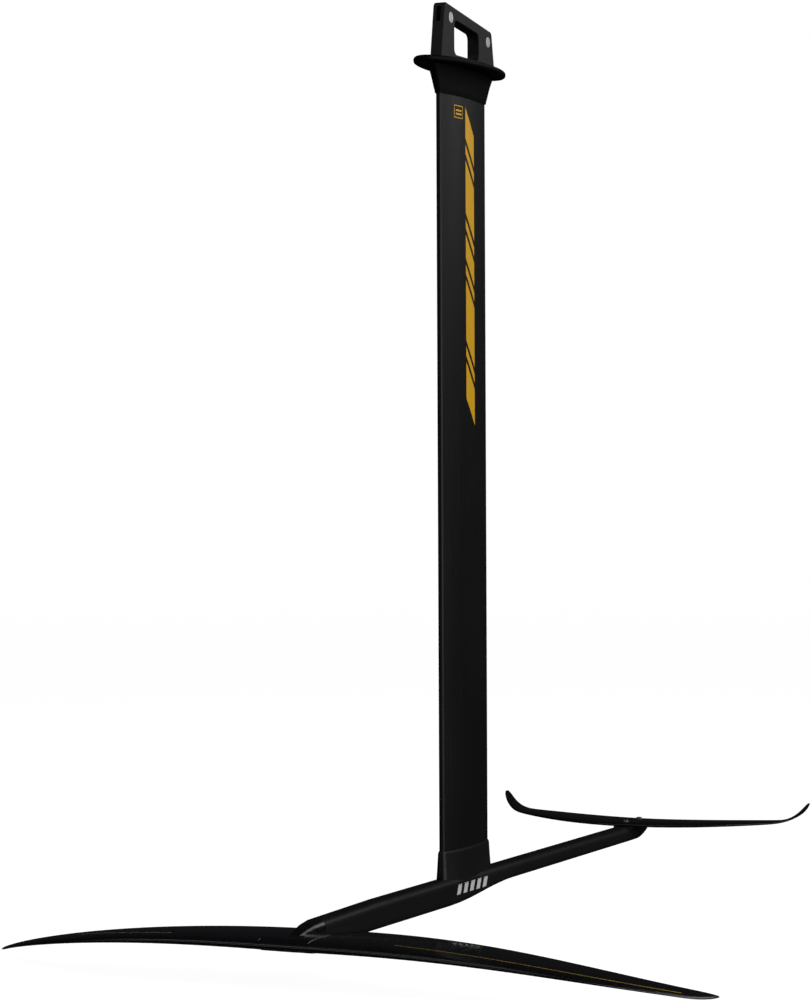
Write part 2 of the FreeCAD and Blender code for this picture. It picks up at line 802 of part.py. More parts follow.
def wing_wire(nose, chord, thick, pitch, lean, inset=0.0, front_inset=0.0, back_inset=0.0):
    """A wing section as a closed line.

    nose is the leading edge's point, pitch the incidence and lean the surface's slope along the
    span, both in radians. The insets shrink the section for the core inside the skin, and a
    negative inset swells it.
    """
    upper = []
    for step in range(WING_POINTS + 1):
        share = (1 - math.cos(math.pi * step / WING_POINTS)) / 2
        along = front_inset + share * (chord - front_inset - back_inset)
        half = thick * thickness_at(along / chord) - inset + TAIL_EDGE / 2 * along / chord
        if inset:
            half = max(half, 0.15) * math.sqrt(min(1.0, share / 0.04))
        upper.append((along, half))
    line = [(a, h) for a, h in reversed(upper)] + [(a, -h) for a, h in upper[1:]]
    points = []
    for along, up in line:
        x = nose[0] - along * math.cos(pitch)
        rise = up - along * math.sin(pitch)
        points.append(FreeCAD.Vector(x, nose[1] - rise * math.sin(lean),
                                     nose[2] + rise * math.cos(lean)))
    side = Part.BSplineCurve()
    side.interpolate(Points=points, Parameters=[float(n) for n in range(len(points))])
    back = Part.LineSegment(points[-1], points[0]).toShape()
    return Part.Wire([side.toShape(), back])


def tip_rounding(share, start, least):
    """Part of the chord that the rounded tip leaves, from 1 at start to least at the tip."""
    if share <= start:
        return 1.0
    out = (share - start) / (1 - start)
    return least + (1 - least) * math.sqrt(max(0.0, 1 - out * out))


# powers of the share of the half span
FRONT_CHORD_POWER = 1.28
FRONT_SWEEP_POWER = 4.3
FRONT_DROOP_POWER = 2.87
REAR_CHORD_POWER = 2.6
REAR_SWEEP_POWER = 1.95
REAR_TIP_POWER = 4.07


def front_section(share, inset=0.0, edges=(0.0, 0.0)):
    """The front wing's section at a share of the half span, negative to starboard."""
    out = abs(share)
    full = val("front_tip_chord") + (val("front_root_chord") - val("front_tip_chord")) * (
        1 - out ** FRONT_CHORD_POWER)
    nose_x = val("front_leading_edge") - val("front_sweep") * out ** FRONT_SWEEP_POWER
    chord = full * tip_rounding(out, 0.955, 0.12)
    nose = (nose_x - (full - chord) * 0.85, share * val("front_half_span"),
            -val("front_depth") - val("front_droop") * out ** FRONT_DROOP_POWER)
    steep = FRONT_DROOP_POWER * out ** (FRONT_DROOP_POWER - 1)
    slope = -math.atan(val("front_droop") * steep / val("front_half_span"))
    pitch = math.radians(val("front_incidence") - val("front_washout") * out)
    thick = val("front_thickness_ratio") * full * (0.4 + 0.6 * chord / full)
    return wing_wire(nose, chord, thick, pitch, math.copysign(slope, share) * (share != 0),
                     inset, *edges)


def rear_section(share, inset=0.0, edges=(0.0, 0.0)):
    """The rear wing's section at a share of the half span, negative to starboard."""
    out = abs(share)
    half_span = val("rear_half_span")
    full = val("rear_tip_chord") + (val("rear_root_chord") - val("rear_tip_chord")) * (
        1 - out ** REAR_CHORD_POWER)
    nose_x = val("rear_leading_edge") - val("rear_sweep") * out ** REAR_SWEEP_POWER
    chord = full * tip_rounding(out, 0.96, 0.35)
    bend_start = val("rear_tip_bend") / half_span
    bend = max(0.0, (out - bend_start) / (1 - bend_start))
    rise = val("rear_bow") * out ** 2 + val("rear_tip_rise") * bend ** REAR_TIP_POWER
    steep = REAR_TIP_POWER * bend ** (REAR_TIP_POWER - 1) / (1 - bend_start)
    slope = math.atan((val("rear_bow") * 2 * out + val("rear_tip_rise") * steep) / half_span)
    nose = (nose_x - (full - chord) * 0.5, share * half_span, rise - val("rear_depth"))
    thick = val("rear_thickness_ratio") * full * (0.5 + 0.5 * chord / full)
    return wing_wire(nose, chord, thick, math.radians(val("rear_incidence")),
                     math.copysign(slope, share) * (share != 0), inset, *edges)


def both_sides(shares):
    return [-share for share in reversed(shares)] + [0.0] + list(shares)


FRONT_STATIONS = (0.2, 0.4, 0.6, 0.75, 0.86, 0.93, 0.965, 0.985, 1.0)
REAR_STATIONS = (0.25, 0.5, 0.7, 0.8, 0.88, 0.94, 0.975, 1.0)
# what a core and the centre pad leave free in front and behind, along the chord
FRONT_CORE_EDGES = (6.0, 14.0)
REAR_CORE_EDGES = (5.0, 10.0)
PAD_EDGES = (5.0, 9.0)
front_body = loft("front_wing_body", [front_section(s) for s in both_sides(FRONT_STATIONS)])
rear_body = loft("rear_wing_body", [rear_section(s) for s in both_sides(REAR_STATIONS)])

pad_share = val("pad_half_width") / val("front_half_span")
centre_pad = loft("front_centre_pad", [front_section(s, -val("pad_rise"), PAD_EDGES)
                                       for s in (-pad_share, 0.0, pad_share)])


def nose_line(x, half_width, top, bottom, radius):
    """A rounded upright section of the nose fairing."""
    corners = [FreeCAD.Vector(x, -half_width, bottom), FreeCAD.Vector(x, half_width, bottom),
               FreeCAD.Vector(x, half_width, top - radius),
               FreeCAD.Vector(x, half_width - radius, top),
               FreeCAD.Vector(x, -half_width + radius, top),
               FreeCAD.Vector(x, -half_width, top - radius)]
    bend = radius * (1 - math.sqrt(0.5))
    port = FreeCAD.Vector(x, half_width - bend, top - bend)
    starboard = FreeCAD.Vector(x, -half_width + bend, top - bend)
    edges = [Part.LineSegment(corners[0], corners[1]), Part.LineSegment(corners[1], corners[2]),
             Part.Arc(corners[2], port, corners[3]), Part.LineSegment(corners[3], corners[4]),
             Part.Arc(corners[4], starboard, corners[5]),
             Part.LineSegment(corners[5], corners[0])]
    return Part.Wire([edge.toShape() for edge in edges])


front_end = val("fuselage_front_end")
NOSE_LINES = (
    # X, half width, depth of the top, radius of the top's edges
    (front_end, val("fuselage_width") / 2, val("bar_end_depth"), val("fuselage_top_radius")),
    (390.0, 10.5, 901.6, 6.5),
    (403.0, 8.5, 904.6, 5.0),
    (416.0, 7.0, 908.2, 4.0),
    (val("nose_tip"), 5.5, val("nose_tip_depth"), 2.5),
)
nose_fairing = loft("nose_fairing", [nose_line(x, half_width, -top, -918, radius)
                                     for x, half_width, top, radius in NOSE_LINES])
nose_fairing.Ruled = True
front_outside = fuse("front_wing_outside", [front_body, centre_pad, nose_fairing])

def core(name, section, skin, edges, stations, end):
    """The foam inside a wing's skin, out to the last station."""
    shares = [s for s in stations if s < end - 0.05] + [end]
    return loft(name, [section(s, skin, edges) for s in both_sides(shares)])


front_inside = core("front_wing_inside", front_section, val("front_skin"), FRONT_CORE_EDGES,
                    FRONT_STATIONS, val("front_core_span") / val("front_half_span"))
rear_inside = core("rear_wing_inside", rear_section, val("rear_skin"), REAR_CORE_EDGES,
                   REAR_STATIONS, val("rear_core_span") / val("rear_half_span"))

bearing = size("bearing_half_width")
front_block = box("front_bearing_block", (316, -bearing, -960), (370, bearing, -890))
rear_block = box("rear_bearing_block", (-558, -bearing * 0.7, -920), (-488, bearing * 0.7, -880))

seat = size("front_bolt_seat_depth")
front_bolt_holes = fuse("front_bolt_holes", [
    upright_holes("front_bolt_shafts", FRONT_BOLTS, size("bolt_radius") + size("hole_play"),
                  seat + 20, seat - 15),
    upright_holes("front_bolt_sinks", FRONT_BOLTS, size("cup_radius") + 0.1, seat + 20, seat)])


def rear_top(x):
    """Height of the rear wing's upper face at the middle."""
    along = -x + val("rear_leading_edge")
    chord = val("rear_root_chord")
    half = val("rear_thickness_ratio") * chord * thickness_at(along / chord)
    return -val("rear_depth") + half - along * math.sin(math.radians(val("rear_incidence")))


REAR_SEATS = [as_size(-rear_top(x.value) + 0.9) for x in REAR_SCREWS]
rear_holes = []
for n, (x, seat_depth) in enumerate(zip(REAR_SCREWS, REAR_SEATS)):
    rear_holes.append(cylinder(f"rear_hole_{n}", size("screw_radius") + size("hole_play"), 20,
                               x, 0, -seat_depth - 16))
    rear_holes.append(cylinder(f"rear_spot_{n}", size("washer_radius") + 0.1, 10, x, 0,
                               -seat_depth))
rear_screw_holes = fuse("rear_screw_holes", rear_holes)

for wing, outside, inside, block, holes in (
        ("front_wing", front_outside, front_inside, front_block, front_bolt_holes),
        ("rear_wing", rear_body, rear_inside, rear_block, rear_screw_holes)):
    shell = cut(f"{wing}_shell", outside, inside)
    parts[f"{wing}_skin"] = cut(f"{wing}_skin", shell, holes)
    parts[f"{wing}_core"] = cut(f"{wing}_core", inside, block)
    plate_body = common(f"{wing}_plate", [inside, block])
    parts[f"{wing}_insert"] = cut(f"{wing}_insert", plate_body, holes)

# ---- front wing bolts, washers and thread inserts -----------------------------------------

cup = size("cup_thickness")
parts["front_wing_bolts"] = group("front_wing_bolts", [
    cap_bolt(f"front_bolt_{n}", x, seat + cup, size("front_bolt_length"),
             size("bolt_head_radius"), size("bolt_head_height") * 0.9, size("bolt_key_width"))
    for n, x in enumerate(FRONT_BOLTS)])


def ring(name, outer, inner, length, x, z):
    """A flat ring or sleeve standing on a height."""
    body_of_ring = cylinder(f"{name}_outside", outer, length, x, 0, z)
    bore = cylinder(f"{name}_bore", inner, length + 2, x, 0, z - 1)
    return cut(name, body_of_ring, bore)


parts["front_wing_washers"] = group("front_wing_washers", [
    ring(f"front_washer_{n}", size("cup_radius"), size("bolt_radius") + 0.2, cup, x, -seat - cup)
    for n, x in enumerate(FRONT_BOLTS)])
parts["front_thread_inserts"] = group("front_thread_inserts", [
    ring(f"front_insert_{n}", size("insert_radius"), size("bolt_radius") + 0.03,
         size("insert_length"), x, -size("insert_top_depth") - size("insert_length"))
    for n, x in enumerate(FRONT_BOLTS)])

# ---- rear screws, washers and thread inserts ----------------------------------------------

screws = []
washers = []
washer = size("washer_thickness")
for n, (x, seat_depth) in enumerate(zip(REAR_SCREWS, REAR_SEATS)):
    under_head = -seat_depth + washer
    dome = cone(f"rear_screw_head_{n}", size("screw_head_radius"),
                size("screw_head_radius") * 0.62, size("button_height"), x, 0, under_head)
    end = -size("rear_seat_depth") - size("tail_insert_length") + 0.3
    shank = cylinder(f"rear_screw_shank_{n}", size("screw_radius"), under_head - end, x, 0, end)
    whole = fuse(f"rear_screw_whole_{n}", [dome, shank])
    key = key_socket(f"rear_screw_key_{n}", size("screw_key_width"), 4, x, 0,
                     under_head + size("button_height") * 0.3)
    screws.append(cut(f"rear_screw_{n}", whole, key))
    washers.append(ring(f"rear_washer_{n}", size("washer_radius"), size("screw_radius") + 0.2,
                        washer, x, -seat_depth))
parts["rear_wing_screws"] = group("rear_wing_screws", screws)
parts["rear_wing_washers"] = group("rear_wing_washers", washers)
parts["tail_thread_inserts"] = group("tail_thread_inserts", [
    ring(f"tail_insert_{n}", size("tail_insert_radius"), size("screw_radius") + 0.03,
         size("tail_insert_length"), x, -size("rear_seat_depth") - size("tail_insert_length"))
    for n, x in enumerate(REAR_SCREWS)])

# ---- fuselage -----------------------------------------------------------------------------

def ease(share):
    """A smooth step from 0 to 1."""
    share = min(1.0, max(0.0, share))
    return (1 - math.cos(math.pi * share)) / 2


def bar_depths(x):
    """Depths of the bar's top and bottom at an X."""
    front, rear = val("fuselage_front_depth"), val("fuselage_rear_depth")
    sweep = (val("sweep_start") - x) / (val("sweep_start") + val("sweep_end"))
    bottom = front + (rear - front) * ease(sweep)
    lift = (-x - val("sweep_end")) / (val("tail_corner") - val("sweep_end"))
    bottom -= (rear - val("tail_corner_depth")) * min(1.0, max(0.0, lift))
    out = max(0.0, -x - val("tail_bend")) / (val("fuselage_tail_end") - val("tail_bend"))
    bottom -= (val("tail_corner_depth") - val("tail_end_depth")) * out ** 1.4
    fall = (x - val("bar_slope_start")) / (val("fuselage_front_end") - val("bar_slope_start"))
    top = val("fuselage_top_depth") + max(0.0, fall) * (val("bar_end_depth")
                                                        - val("fuselage_top_depth"))
    return top, bottom


def bar_half_width(x):
    """Half the bar's width, which closes in to a round tail."""
    share = (-x - val("tail_narrowing")) / (val("fuselage_tail_end") - val("tail_narrowing"))
    wide, narrow = val("fuselage_width") / 2, val("tail_half_width")
    return narrow + (wide - narrow) * math.sqrt(max(0.0, 1 - max(0.0, share) ** 2))


def bar_wire(x):
    """The bar's section at an X: flat sides and faces with round corners."""
    top, bottom = bar_depths(x)
    half = bar_half_width(x)
    upper = min(val("fuselage_top_radius"), 0.64 * half)
    lower = min(val("fuselage_bottom_radius"), 0.5 * half, 0.4 * (bottom - top))
    edges = []
    corners = ((half, -bottom, lower, -45), (half, -top, upper, 45),
               (-half, -top, upper, 135), (-half, -bottom, lower, 225))
    ends = []
    for y, z, radius, angle in corners:
        centre = (y - math.copysign(radius, y), z + radius if z == -bottom else z - radius)
        arc = [FreeCAD.Vector(x, centre[0] + radius * math.cos(math.radians(angle + turn)),
                              centre[1] + radius * math.sin(math.radians(angle + turn)))
               for turn in (-45, 0, 45)]
        ends.append((arc[0], arc[2], Part.Arc(*arc)))
    for (_, last, arc), (first, _, _) in zip(ends, ends[1:] + ends[:1]):
        edges += [arc, Part.LineSegment(last, first)]
    return Part.Wire([edge.toShape() for edge in edges])


def stations(start, end, count):
    return [start + (end - start) * n / count for n in range(count + 1)]


def tail_stations(count):
    """Places along the rounded tail, closer together towards its end."""
    start, end = val("tail_narrowing"), val("fuselage_tail_end")
    return [-start - (end - start) * math.sin(math.pi / 2 * n / count) for n in range(count + 1)]


bar_pieces = []
for name, places, straight in (
        ("bar_front", (front_end, val("bar_slope_start"), val("sweep_start")), True),
        ("bar_sweep", stations(val("sweep_start"), -val("sweep_end"), 9), False),
        ("bar_rear", (-val("sweep_end"), -val("tail_narrowing")), True),
        ("bar_tail", tail_stations(14), True)):
    piece = loft(name, [bar_wire(x) for x in places])
    piece.Ruled = straight
    bar_pieces.append(piece)
rounded_bar = fuse("fuselage_bar", bar_pieces)
rounded_bar.Refine = True
SOCKET_LINES = (
    # depth below the rim as a share, outward growth beyond the rim's
    (0.06, 0.0), (0.5, 0.42), (1.0, 1.0),
)
rim = val("socket_rim_depth")
base_depth = val("fuselage_top_depth") + 8
rim_grow = val("socket_rim_grow")
base_grow = val("socket_base_grow")
socket_flare = loft("socket_flare", [
    mast_wire(-rim - share * (base_depth - rim), rim_grow + part * (base_grow - rim_grow))
    for share, part in SOCKET_LINES])
socket_lip = loft("socket_lip", [
    mast_wire(-rim, rim_grow - 0.9),
    mast_wire(-rim - 0.06 * (base_depth - rim), rim_grow)])
fuselage_whole = fuse("fuselage_whole", [rounded_bar, socket_flare, socket_lip])
socket_hole = mast_solid("socket_hole", size("socket_rim_depth") - 1, gasket_bottom,
                         val("slip_gap"))
mast_bolt_ways = fuse("mast_bolt_ways", [
    upright_holes("mast_bolt_shafts", MAST_BOLTS, size("bolt_radius") + size("hole_play"),
                  size("mast_bolt_seat_depth") + 1, gasket_bottom - 1),
    upright_holes("mast_bolt_sinks", MAST_BOLTS, size("bolt_head_radius") + size("hole_play"),
                  size("mast_bolt_seat_depth") + 30, size("mast_bolt_seat_depth"))])
front_insert_ways = upright_holes("front_insert_ways", FRONT_BOLTS, size("insert_radius") + 0.02,
                                  seat + 5, size("insert_top_depth") - 0.5)
tail_insert_ways = upright_holes("tail_insert_ways", REAR_SCREWS,
                                 size("tail_insert_radius") + 0.02,
                                 size("rear_seat_depth") + size("tail_insert_length") + 0.3,
                                 size("rear_seat_depth") - 3)


def wing_notch():
    """All that lies below the front wing's chord line, where the wing takes the bar's place."""
    pitch = math.radians(val("front_incidence"))
    chord = val("front_root_chord")
    back = FreeCAD.Vector(val("front_leading_edge") - chord * math.cos(pitch), -20,
                          -val("front_depth") - chord * math.sin(pitch))
    front = FreeCAD.Vector(val("front_leading_edge"), -20, -val("front_depth"))
    down = FreeCAD.Vector(0, 0, -40)
    outline = Part.makePolygon([back, front, front + down, back + down, back])
    return Part.Face(outline).extrude(FreeCAD.Vector(0, 40, 0))


notch = feature("front_wing_notch", wing_notch())
tail_seat = box("tail_seat", (-600, -20, -size("rear_seat_depth")),
                (-size("rear_seat_start"), 20, -880))
cuts = fuse("fuselage_cuts", [socket_hole, mast_bolt_ways, front_insert_ways, tail_insert_ways,
                              notch, tail_seat])
fuselage_cut = cut("fuselage_machined", fuselage_whole, cuts)
parts["fuselage"] = cut("fuselage", fuselage_cut, front_outside)

# ---- shim under the rear wing -------------------------------------------------------------

def tail_plan():
    """The tail's plan a little inside its edge."""
    port = [FreeCAD.Vector(x, bar_half_width(x) - 1.0, -val("rear_seat_depth"))
            for x in stations(-val("rear_seat_start") - 4, 4 - val("fuselage_tail_end"), 10)]
    starboard = [FreeCAD.Vector(spot.x, -spot.y, spot.z) for spot in reversed(port)]
    return Part.Face(Part.makePolygon(port + starboard + port[:1]))


shim_block = extrude("shim_block", feature("shim_plan", tail_plan()), (0, 0, 1),
                     size("rear_seat_depth") - size("rear_depth"))
shim_holes = upright_holes("shim_screw_holes", REAR_SCREWS, size("tail_insert_radius"),
                           size("rear_seat_depth") + 1, size("rear_seat_depth") - 10)
parts["rear_wing_shim"] = cut("rear_wing_shim", cut("shim_wedge", shim_block, rear_body),
                              shim_holes)

# ---- checks and files ---------------------------------------------------------------------

doc.recompute()
for thing in doc.Objects:
    if "Invalid" in thing.State or "Error" in thing.State:
        raise RuntimeError(f"{thing.Name}: {thing.State}")
os.makedirs("parts", exist_ok=True)
for name, thing in parts.items():
    thing.Label = name
    if thing.Shape.isNull() or not thing.Shape.isValid():
        raise RuntimeError(f"{name} is not a valid shape")
    solids = thing.Shape.Solids
    print(f"{name}: {len(solids)} solid(s), {thing.Shape.Volume / 1000:.2f} cm3")
    thing.Shape.exportStep(f"parts/{name}.step")
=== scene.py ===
"""Looks of the hydrofoil: materials, printed marks with the painted highlights on the wing's centre
pad, studio and camera. Metres, in the CAD frame.

+X points forward, +Y to port and +Z up, from the mast's axis at the flange's top face.
"""
import math

import bmesh
import bpy
from mathutils import Matrix, Vector
from mathutils.bvhtree import BVHTree


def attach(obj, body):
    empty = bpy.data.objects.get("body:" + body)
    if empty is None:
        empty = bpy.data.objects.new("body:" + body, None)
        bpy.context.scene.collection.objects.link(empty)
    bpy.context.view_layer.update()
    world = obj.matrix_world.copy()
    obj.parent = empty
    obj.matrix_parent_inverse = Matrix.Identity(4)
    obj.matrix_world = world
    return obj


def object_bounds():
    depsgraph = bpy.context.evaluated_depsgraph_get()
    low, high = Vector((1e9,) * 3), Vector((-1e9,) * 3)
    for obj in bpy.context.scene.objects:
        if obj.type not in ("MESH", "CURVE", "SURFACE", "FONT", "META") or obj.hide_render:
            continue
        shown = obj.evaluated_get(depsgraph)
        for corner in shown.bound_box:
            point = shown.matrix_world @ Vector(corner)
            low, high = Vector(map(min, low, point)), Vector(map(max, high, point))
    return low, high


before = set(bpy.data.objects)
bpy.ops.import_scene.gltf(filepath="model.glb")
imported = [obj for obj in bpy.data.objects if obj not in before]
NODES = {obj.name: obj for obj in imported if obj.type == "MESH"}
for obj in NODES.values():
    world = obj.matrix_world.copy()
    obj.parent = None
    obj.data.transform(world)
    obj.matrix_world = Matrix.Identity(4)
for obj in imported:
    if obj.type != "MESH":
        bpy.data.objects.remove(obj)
cad_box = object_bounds()
MM = 0.001


# ---- small helpers for materials ----------------------------------------------------------

class Paint:
    """A material's node tree, with short ways to add and join its nodes."""

    def __init__(self, name):
        self.material = bpy.data.materials.new(name)
        self.material.use_nodes = True
        self.nodes = self.material.node_tree.nodes
        self.links = self.material.node_tree.links
        self.shader = self.nodes["Principled BSDF"]

    def add(self, kind, **sockets):
        """A new node; a socket is given a value or another node's output."""
        node = self.nodes.new(kind)
        for name, value in sockets.items():
            self.feed(node.inputs[name.replace("_", " ")], value)
        return node

    def feed(self, socket, value):
        if isinstance(value, bpy.types.NodeSocket):
            self.links.new(value, socket)
        else:
            socket.default_value = value

    def set(self, **sockets):
        """Sets the shader's own sockets."""
        for name, value in sockets.items():
            self.feed(self.shader.inputs[name.replace("_", " ")], value)

    def place(self, scale=(1, 1, 1), turn=(0, 0, 0)):
        """Positions in the part's own frame, stretched and turned."""
        where = self.add("ShaderNodeTexCoord").outputs["Object"]
        return self.add("ShaderNodeMapping", Vector=where, Scale=scale,
                        Rotation=turn).outputs["Vector"]

    def noise(self, scale, detail=3.0, stretch=(1, 1, 1)):
        return self.add("ShaderNodeTexNoise", Vector=self.place(stretch), Scale=scale,
                        Detail=detail).outputs["Fac"]

    def ramp(self, value, low, high, start=0.0, end=1.0):
        """A number or colour that runs from low to high as a value goes from start to end."""
        node = self.add("ShaderNodeValToRGB", Fac=value)
        for stop, place, colour in zip(node.color_ramp.elements, (start, end), (low, high)):
            stop.position = place
            stop.color = colour if isinstance(colour, tuple) else (colour, colour, colour, 1)
        return node.outputs["Color"]

    def bump(self, height, strength, distance, under=None):
        node = self.add("ShaderNodeBump", Height=height, Strength=strength, Distance=distance)
        if under is not None:
            self.links.new(under, node.inputs["Normal"])
        return node.outputs["Normal"]


def grey(value, tint=(1.0, 1.0, 1.0)):
    return (value * tint[0], value * tint[1], value * tint[2], 1)


# ---- materials ----------------------------------------------------------------------------

def anodised(name, shade, roughness, shine, streak=(1, 1, 1)):
    """Black anodised aluminium: an even satin with faint draw lines and small variations."""
    paint = Paint(name)
    cloud = paint.noise(9.0, 4.0)
    lines = paint.noise(700.0, 2.0, streak)
    fine = paint.noise(2600.0, 2.0)
    paint.set(Base_Color=paint.ramp(cloud, grey(shade * 0.82), grey(shade * 1.18), 0.3, 0.7),
              Roughness=paint.ramp(lines, roughness - 0.05, roughness + 0.05, 0.3, 0.7))
    under = paint.bump(lines, 0.05, 0.0001)
    paint.set(Normal=paint.bump(fine, 0.08, 0.00006, under), Specular_IOR_Level=shine)
    return paint.material


def blasted(name, shade, roughness, shine):
    """Anodised over a bead-blasted surface, as on the machined head."""
    paint = Paint(name)
    grain = paint.noise(1900.0, 3.0)
    cloud = paint.noise(35.0, 3.0)
    paint.set(Base_Color=paint.ramp(cloud, grey(shade * 0.85), grey(shade * 1.15), 0.3, 0.7),
              Roughness=paint.ramp(grain, roughness - 0.06, roughness + 0.06, 0.3, 0.7),
              Normal=paint.bump(grain, 0.25, 0.00008), Specular_IOR_Level=shine)
    return paint.material


def moulded(name, shade, roughness, shine, grain_size=1500.0):
    """Black moulded plastic with an eroded-mould grain."""
    paint = Paint(name)
    cells = paint.add("ShaderNodeTexVoronoi", Vector=paint.place(),
                      Scale=grain_size).outputs["Distance"]
    cloud = paint.noise(50.0, 2.0)
    paint.set(Base_Color=paint.ramp(cloud, grey(shade * 0.8), grey(shade * 1.25), 0.3, 0.7),
              Roughness=paint.ramp(cells, roughness - 0.05, roughness + 0.07),
              Normal=paint.bump(cells, 0.18, 0.00008), Specular_IOR_Level=shine)
    return paint.material


def lacquered(name, shade):
    """Clear lacquer over black laminate: deep gloss, with the fibre just felt under it."""
    paint = Paint(name)
    fibre = paint.noise(420.0, 2.0, (0.12, 1, 1))
    ripple = paint.noise(22.0, 1.5)
    # The blue tint in the base colour is a painted reflection of the bluish room in the gloss.
    paint.set(Base_Color=paint.ramp(fibre, grey(shade * 0.6, (1.0, 1.0, 1.5)),
                                    grey(shade * 1.6, (1.0, 1.0, 1.5)), 0.35, 0.65),
              Roughness=paint.ramp(fibre, 0.24, 0.34, 0.3, 0.7),
              Normal=paint.bump(fibre, 0.03, 0.00005),
              Coat_Normal=paint.bump(ripple, 0.04, 0.0006))
    paint.set(Coat_Weight=0.6, Coat_Roughness=0.12, Specular_IOR_Level=0.25)
    return paint.material


def steel(name, shade, roughness):
    """Turned stainless steel with fine tool marks."""
    paint = Paint(name)
    marks = paint.noise(1300.0, 2.0, (1, 0.1, 1))
    spots = paint.noise(160.0, 3.0)
    paint.set(Base_Color=paint.ramp(spots, grey(shade * 0.9), grey(shade, (1, 1, 1.02)), 0.3, 0.7),
              Metallic=1.0,
              Roughness=paint.ramp(marks, roughness - 0.08, roughness + 0.1, 0.3, 0.7),
              Normal=paint.bump(marks, 0.12, 0.00005))
    return paint.material


def brass(name):
    paint = Paint(name)
    marks = paint.noise(1100.0, 2.0, (1, 1, 0.1))
    paint.set(Base_Color=paint.ramp(marks, (0.62, 0.44, 0.17, 1), (0.74, 0.56, 0.26, 1)),
              Metallic=1.0, Roughness=paint.ramp(marks, 0.25, 0.4))
    return paint.material


def machined(name):
    """Bare milled aluminium with cutter marks."""
    paint = Paint(name)
    wave = paint.add("ShaderNodeTexWave", Vector=paint.place(), Scale=260.0,
                     Distortion=2.0).outputs["Fac"]
    paint.set(Base_Color=paint.ramp(wave, grey(0.52), grey(0.64)), Metallic=1.0,
              Roughness=paint.ramp(wave, 0.3, 0.42), Normal=paint.bump(wave, 0.1, 0.00005))
    return paint.material


def foam(name):
    """Closed-cell foam, buff, with its cells."""
    paint = Paint(name)
    cells = paint.add("ShaderNodeTexVoronoi", Vector=paint.place(),
                      Scale=900.0).outputs["Distance"]
    paint.set(Base_Color=paint.ramp(cells, (0.5, 0.42, 0.27, 1), (0.74, 0.66, 0.48, 1)),
              Roughness=0.9, Normal=paint.bump(cells, 0.6, 0.0004))
    return paint.material


def laminate(name):
    """Solid glass laminate seen from its cut side, in layers."""
    paint = Paint(name)
    layers = paint.add("ShaderNodeTexWave", Vector=paint.place(turn=(0, math.pi / 2, 0)),
                       Scale=520.0, Distortion=0.6).outputs["Fac"]
    paint.set(Base_Color=paint.ramp(layers, (0.05, 0.08, 0.05, 1), (0.13, 0.17, 0.1, 1)),
              Roughness=paint.ramp(layers, 0.4, 0.55))
    return paint.material


def rubber(name):
    paint = Paint(name)
    grain = paint.noise(900.0, 3.0)
    paint.set(Base_Color=paint.ramp(grain, grey(0.012), grey(0.024)), Roughness=0.8,
              Normal=paint.bump(grain, 0.3, 0.0001))
    return paint.material


def print_ink(name, low, high, roughness=0.45):
    """Screen-printed ink with slightly uneven cover."""
    paint = Paint(name)
    cover = paint.noise(380.0, 4.0)
    paint.set(Base_Color=paint.ramp(cover, low, high, 0.3, 0.7),
              Roughness=paint.ramp(cover, roughness - 0.06, roughness + 0.06, 0.3, 0.7),
              Normal=paint.bump(cover, 0.05, 0.00004))
    return paint.material


ALONG_MAST = (1, 1, 0.01)
ALONG_FUSELAGE = (0.01, 1, 1)
STEEL = steel("stainless", 0.6, 0.3)
LACQUER = lacquered("black_lacquer", 0.002)
FOAM = foam("core_foam")
LAMINATE = laminate("insert_laminate")
BRASS = brass("thread_brass")
NUT = steel("nut_steel", 0.6, 0.28)
DARK_STEEL = steel("dark_steel", 0.16, 0.34)
FINISHES = {
    "mast_head": blasted("head_grey", 0.007, 0.5, 0.2),
    "base_collar": moulded("collar_black", 0.0012, 0.5, 0.06),
    "mast_tube": anodised("mast_black", 0.0045, 0.42, 0.2, ALONG_MAST),
    "fuselage": anodised("fuselage_black", 0.0065, 0.42, 0.25, ALONG_FUSELAGE),
    "barrel_nut_front": NUT,
    "barrel_nut_rear": NUT,
    "head_screws": STEEL,
    "foot_plug_screws": STEEL,
    "mast_bolts": STEEL,
    "front_wing_bolts": STEEL,
    "front_wing_washers": STEEL,
    "rear_wing_screws": DARK_STEEL,
    "rear_wing_washers": DARK_STEEL,
    "front_wing_skin": LACQUER,
    "rear_wing_skin": LACQUER,
    "front_wing_core": FOAM,
    "rear_wing_core": FOAM,
    "front_wing_insert": LAMINATE,
    "rear_wing_insert": LAMINATE,
    "front_thread_inserts": BRASS,
    "tail_thread_inserts": BRASS,
    "foot_plug": machined("plug_aluminium"),
    "socket_gasket": rubber("gasket_rubber"),
    "rear_wing_shim": moulded("shim_black", 0.012, 0.55, 0.4),
}
for node, finish in FINISHES.items():
    slots = NODES[node].data.materials
    slots.clear()
    slots.append(finish)


# ---- printed marks, and the painted highlights on the wing's centre pad -------------------

MARK_HEIGHT = 0.06 * MM


def surface_of(node):
    """A node's surface for finding where a mark lies on it."""
    mesh = NODES[node].data
    mesh.calc_loop_triangles()
    return BVHTree.FromPolygons([v.co for v in mesh.vertices],
                                [t.vertices for t in mesh.loop_triangles])


